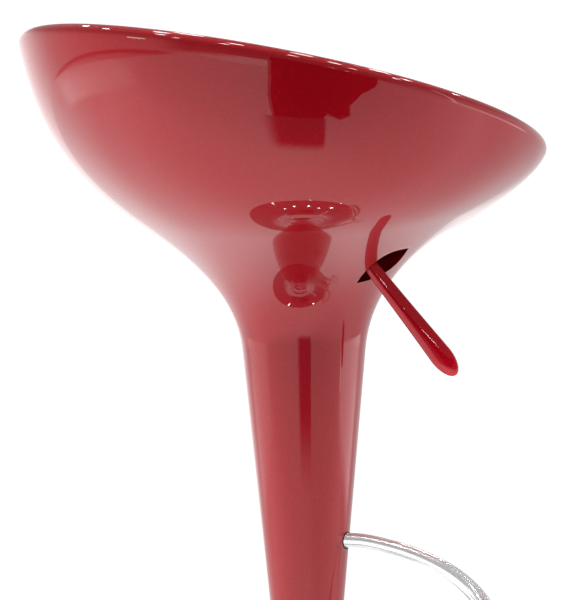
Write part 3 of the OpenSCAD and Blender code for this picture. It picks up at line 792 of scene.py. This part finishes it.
def make_world():
    """A lit backdrop behind the stool, a dim room in front, a grey ceiling, and white for the camera."""
    world = bpy.data.worlds.new("studio")
    bpy.context.scene.world = world
    world.use_nodes = True
    tree = world.node_tree
    tree.nodes.clear()
    back = add(tree, "ShaderNodeBackground")
    seen = add(tree, "ShaderNodeBackground")
    set_inputs(seen, {"Color": (1, 1, 1, 1), "Strength": 1.05})
    way = add(tree, "ShaderNodeTexCoord").outputs["Generated"]
    split = add(tree, "ShaderNodeSeparateXYZ")
    tree.links.new(way, split.inputs[0])
    height = add(tree, "ShaderNodeMapRange")
    set_inputs(height, {"From Min": ROOM_BOTTOM, "From Max": 1.0})
    tree.links.new(split.outputs["Z"], height.inputs[0])
    shades = FRONT_STOPS
    for edge, beyond in ((SIDE_EDGE, SIDE_STOPS), (BACK_EDGE, BACK_STOPS)):
        pick = ease(tree, split.outputs["Y"], *edge)
        shades = blend(tree, pick, height.outputs[0], shades, beyond)
    right = add(tree, "ShaderNodeVectorMath", operation="DOT_PRODUCT")
    right.inputs[1].default_value = BACK_RIGHT
    tree.links.new(way, right.inputs[0])
    pick = ease(tree, right.outputs["Value"], *BACK_RIGHT_EDGE)
    shades = blend(tree, pick, height.outputs[0], shades, BACK_RIGHT_STOPS)
    tree.links.new(shades, back.inputs["Color"])
    set_inputs(back, {"Strength": ROOM_GLOW})
    out = add(tree, "ShaderNodeOutputWorld")
    tree.links.new(camera_switch(tree, back, seen).outputs[0], out.inputs[0])


def only_reflected(card, mat):
    card.data.materials.append(mat)
    card.visible_camera = False
    card.visible_diffuse = False
    card.visible_shadow = False
    card.visible_transmission = False


def make_card(name, corners, glow, colour=(1, 1, 1)):
    """A card that only reflections see. A dark one stands in for a person in front of the stool."""
    card = flat_mesh(name, corners)
    mat, tree, shader = new_material(name)
    set_inputs(shader, {
        "Base Color": (0, 0, 0, 1),
        "Specular IOR Level": 0.0,
        "Emission Color": (*colour, 1),
        "Emission Strength": glow,
    })
    only_reflected(card, mat)


def make_soft_card(name, corners, glow, colour, fades):
    """A card with soft edges. A fade is an axis, where along it the card is clear, and where it is full."""
    card = flat_mesh(name, corners)
    mat, tree, shader = new_material(name)
    tree.nodes.remove(shader)
    light = add(tree, "ShaderNodeEmission")
    set_inputs(light, {"Color": (*colour, 1), "Strength": glow})
    split = add(tree, "ShaderNodeSeparateXYZ")
    tree.links.new(add(tree, "ShaderNodeTexCoord").outputs["Object"], split.inputs[0])
    cover = None
    for axis, clear, full in fades:
        fade = ease(tree, split.outputs[axis], clear, full)
        if cover:
            both = add(tree, "ShaderNodeMath", operation="MULTIPLY")
            tree.links.new(cover, both.inputs[0])
            tree.links.new(fade, both.inputs[1])
            cover = both.outputs[0]
        else:
            cover = fade
    pick = add(tree, "ShaderNodeMixShader")
    tree.links.new(cover, pick.inputs[0])
    tree.links.new(add(tree, "ShaderNodeBsdfTransparent").outputs[0], pick.inputs[1])
    tree.links.new(light.outputs[0], pick.inputs[2])
    tree.links.new(pick.outputs[0], output_node(tree).inputs[0])
    only_reflected(card, mat)


def upright(y, left, right, low, high):
    """The corners of an upright card that faces along Y."""
    return [(left, y, low), (right, y, low), (right, y, high), (left, y, high)]


def slanted(left, right, low, high):
    """The corners of an upright card between two (x, y) places on the floor."""
    return [(*left, low), (*right, low), (*right, high), (*left, high)]


def grown(outline, margin):
    """An outline moved outwards from its middle by a margin."""
    middle = sum((Vector(p) for p in outline), Vector((0, 0))) / len(outline)
    return [tuple(Vector(p) + (Vector(p) - middle).normalized() * margin) for p in outline]


# A dark figure's outline, as (x, z), and the y of its card and of the paler edge that shows behind it.
FIGURE = [(-0.105, 0.64), (-0.115, 0.50), (-0.13, 0.42), (-0.125, 0.30), (0.185, 0.30), (0.21, 0.34)]
FIGURE += [(0.30, 0.30), (0.37, 0.32), (0.36, 0.38), (0.45, 0.43), (0.57, 0.44), (0.60, 0.64)]
FIGURE_Y, FIGURE_EDGE_Y, FIGURE_EDGE = -0.85, -0.87, 0.022
LEGS_FADES = (("X", -0.15, -0.07), ("X", 0.135, 0.115), ("Z", 0.175, 0.27))
# The low walls stand at this x on each side; each has its side and its glow.
WALL_X, WALL_GLOWS, WALL_TOP = 2.6, ((-1, 1.9), (1, 2.4)), 0.4
WALL_FADES = (("Y", -1.0, -0.4), ("Y", 2.2, 1.4), ("Z", 0.0, 0.09), ("Z", WALL_TOP, 0.2))
# The glints are the small bright patches on the lever.
GLINT_Y, GLINT_GLOW = -0.9, 16.0


def make_cards():
    """What the gloss mirrors: a dark figure in front, low bright walls, thin strips and two glints."""
    make_card("studio_figure", [(x, FIGURE_Y, z) for x, z in FIGURE], 0.0)
    edge = grown(FIGURE, FIGURE_EDGE)
    make_card("studio_figure_edge", [(x, FIGURE_EDGE_Y, z) for x, z in edge], 0.55, (0.75, 0.6, 0.65))
    legs = upright(-0.585, -0.15, 0.135, 0.17, 0.41)
    make_soft_card("studio_legs", legs, 0.2, (0.8, 0.6, 0.85), LEGS_FADES)
    for side, glow in WALL_GLOWS:
        wall = slanted((side * WALL_X, -1.0), (side * WALL_X, 2.2), 0, WALL_TOP)
        make_soft_card(f"studio_low_wall_{side + 1}", wall, glow, (1, 1, 1), WALL_FADES)
    make_card("studio_strip", slanted((2.5, -0.75), (2.55, -0.62), 0.1, 1.9), 3.0)
    make_card("studio_window", slanted((-3.6, -1.9), (-3.8, -1.3), 0.72, 0.86), 7.0)
    make_card("studio_glint_0", upright(GLINT_Y, 0.262, 0.30, 0.656, 0.680), GLINT_GLOW)
    make_card("studio_glint_1", upright(GLINT_Y, 0.365, 0.40, 0.640, 0.668), GLINT_GLOW)


def aim_from(obj, place, aim):
    """Puts a light or a camera at a place and points it at another."""
    obj.location = place
    obj.rotation_mode = "QUATERNION"
    obj.rotation_quaternion = (Vector(aim) - Vector(place)).to_track_quat("-Z", "Y")


def area_light(name, place, aim, size, power, glossy=True):
    data = bpy.data.lights.new(name, "AREA")
    data.shape = "DISK"
    data.size = size
    data.energy = power
    obj = make_object(name, data)
    aim_from(obj, place, aim)
    obj.visible_glossy = glossy
    obj.visible_camera = False
    return obj


def spot_light(name, place, aim, width, power):
    """A soft narrow beam, width degrees across, that the gloss doesn't show."""
    data = bpy.data.lights.new(name, "SPOT")
    data.spot_size = math.radians(width)
    data.spot_blend = 1.0
    data.shadow_soft_size = 0.03
    data.energy = power
    obj = make_object(name, data)
    aim_from(obj, place, aim)
    obj.visible_glossy = False


# The ceiling spots: every second row is shifted along X. Places in metres, power in watts.
SPOT_ROWS, SPOT_COLUMNS, SPOT_FROM, SPOT_STEP, SPOT_SHIFT = 4, 4, (-1.9, -1.8), (1.2, 1.05), 0.5
CEILING, SPOT_SIZE, SPOT_POWER = 2.8, 0.2, 5


def make_lights():
    """Broad soft lights, two narrow beams, a faint light in the slot, and ceiling spots the gloss mirrors."""
    area_light("overhead", (0, 0, 3.2), (0, 0, 0), size=3.0, power=38, glossy=False)
    area_light("left_fill", (-2.4, 0.5, 0.35), (0, 0, 0.42), size=1.6, power=54, glossy=False)
    area_light("right_fill", (2.2, 1.1, 0.3), (0, 0, 0.4), size=1.4, power=36, glossy=False)
    spot_light("tip_spot", (0.5, -1.6, 0.2), (0.121, -0.065, 0.366), width=2.4, power=75)
    slot_place, slot_aim = (0.10, 0.045, 0.503), (0.075, 0.09, 0.477)
    inside = area_light("slot_glow", slot_place, slot_aim, size=0.02, power=0.022, glossy=False)
    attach(inside, "seat")
    spot_light("neck_spot", (-0.3, -2.4, 0.15), (0.02, 0, 0.24), width=9, power=60)
    for row in range(SPOT_ROWS):
        for column in range(SPOT_COLUMNS):
            x = SPOT_FROM[0] + SPOT_STEP[0] * column + (SPOT_SHIFT if row % 2 else 0.0)
            y = SPOT_FROM[1] + SPOT_STEP[1] * row
            area_light(f"ceiling_spot_{row}_{column}", (x, y, CEILING), (x, y, 0), SPOT_SIZE, SPOT_POWER)


CAMERA_HEIGHT, CAMERA_DISTANCE = 0.22, 2.7
CAMERA_LENS, CAMERA_SENSOR, CAMERA_ROLL = 202.5, 36, -0.69
TARGET = Vector((-0.0143, 0.0, 0.4396))


def make_camera():
    data = bpy.data.cameras.new("camera")
    data.lens = CAMERA_LENS
    data.sensor_width = CAMERA_SENSOR
    cam = make_object("camera", data)
    aim_from(cam, (TARGET.x, -CAMERA_DISTANCE, CAMERA_HEIGHT), TARGET)
    roll = Matrix.Rotation(math.radians(CAMERA_ROLL), 3, "Z").to_quaternion()
    cam.rotation_quaternion = cam.rotation_quaternion @ roll
    bpy.context.scene.camera = cam


make_floor()
make_world()
make_cards()
make_lights()
make_camera()
bpy.context.scene.view_settings.view_transform = "Standard"
